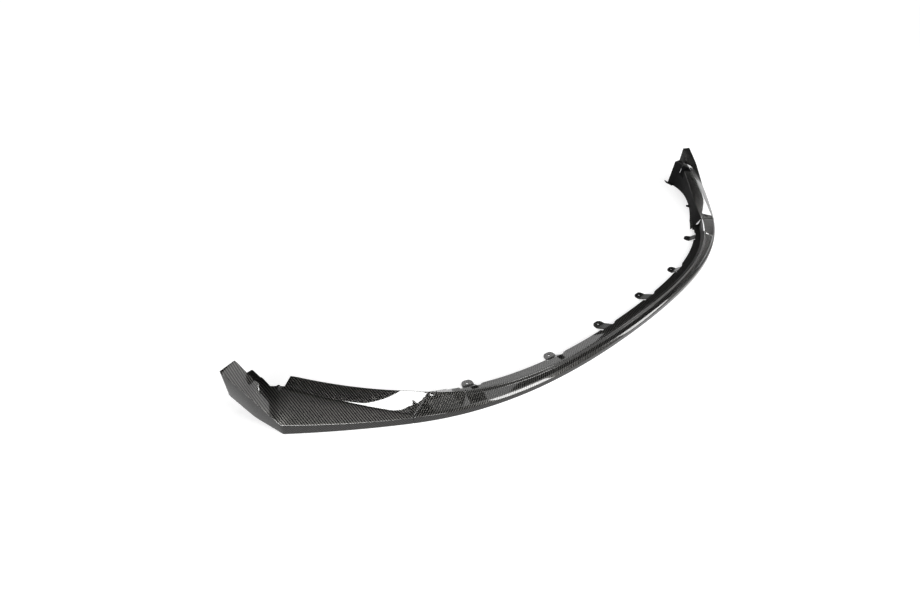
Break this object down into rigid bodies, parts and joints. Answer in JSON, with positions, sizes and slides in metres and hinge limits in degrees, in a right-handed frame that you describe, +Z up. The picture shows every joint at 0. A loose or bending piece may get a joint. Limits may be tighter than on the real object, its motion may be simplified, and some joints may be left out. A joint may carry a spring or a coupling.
{
  "type": "front splitter lip",
  "caption": "Front splitter lip: a bowed centre blade with rear screw tabs, joined at slanted seams to upswept corner wings, in glossy woven laminate.",
  "frame": {"origin": "centre of the footprint on the floor, midway between the front edge and the rear tab tips", "axes": "+X across the car, the front faces -Y, +Z up"},
  "size_m": [1.804, 0.437, 0.131],
  "materials": {
    "carbon_laminate": "clear-coated twill carbon fibre, near black with silver-grey diagonal glints"
  },
  "bodies": {
    "root": {"centre_lip": "carbon_laminate", "left_corner_wing": "carbon_laminate", "right_corner_wing": "carbon_laminate"}
  },
  "joints": []
}
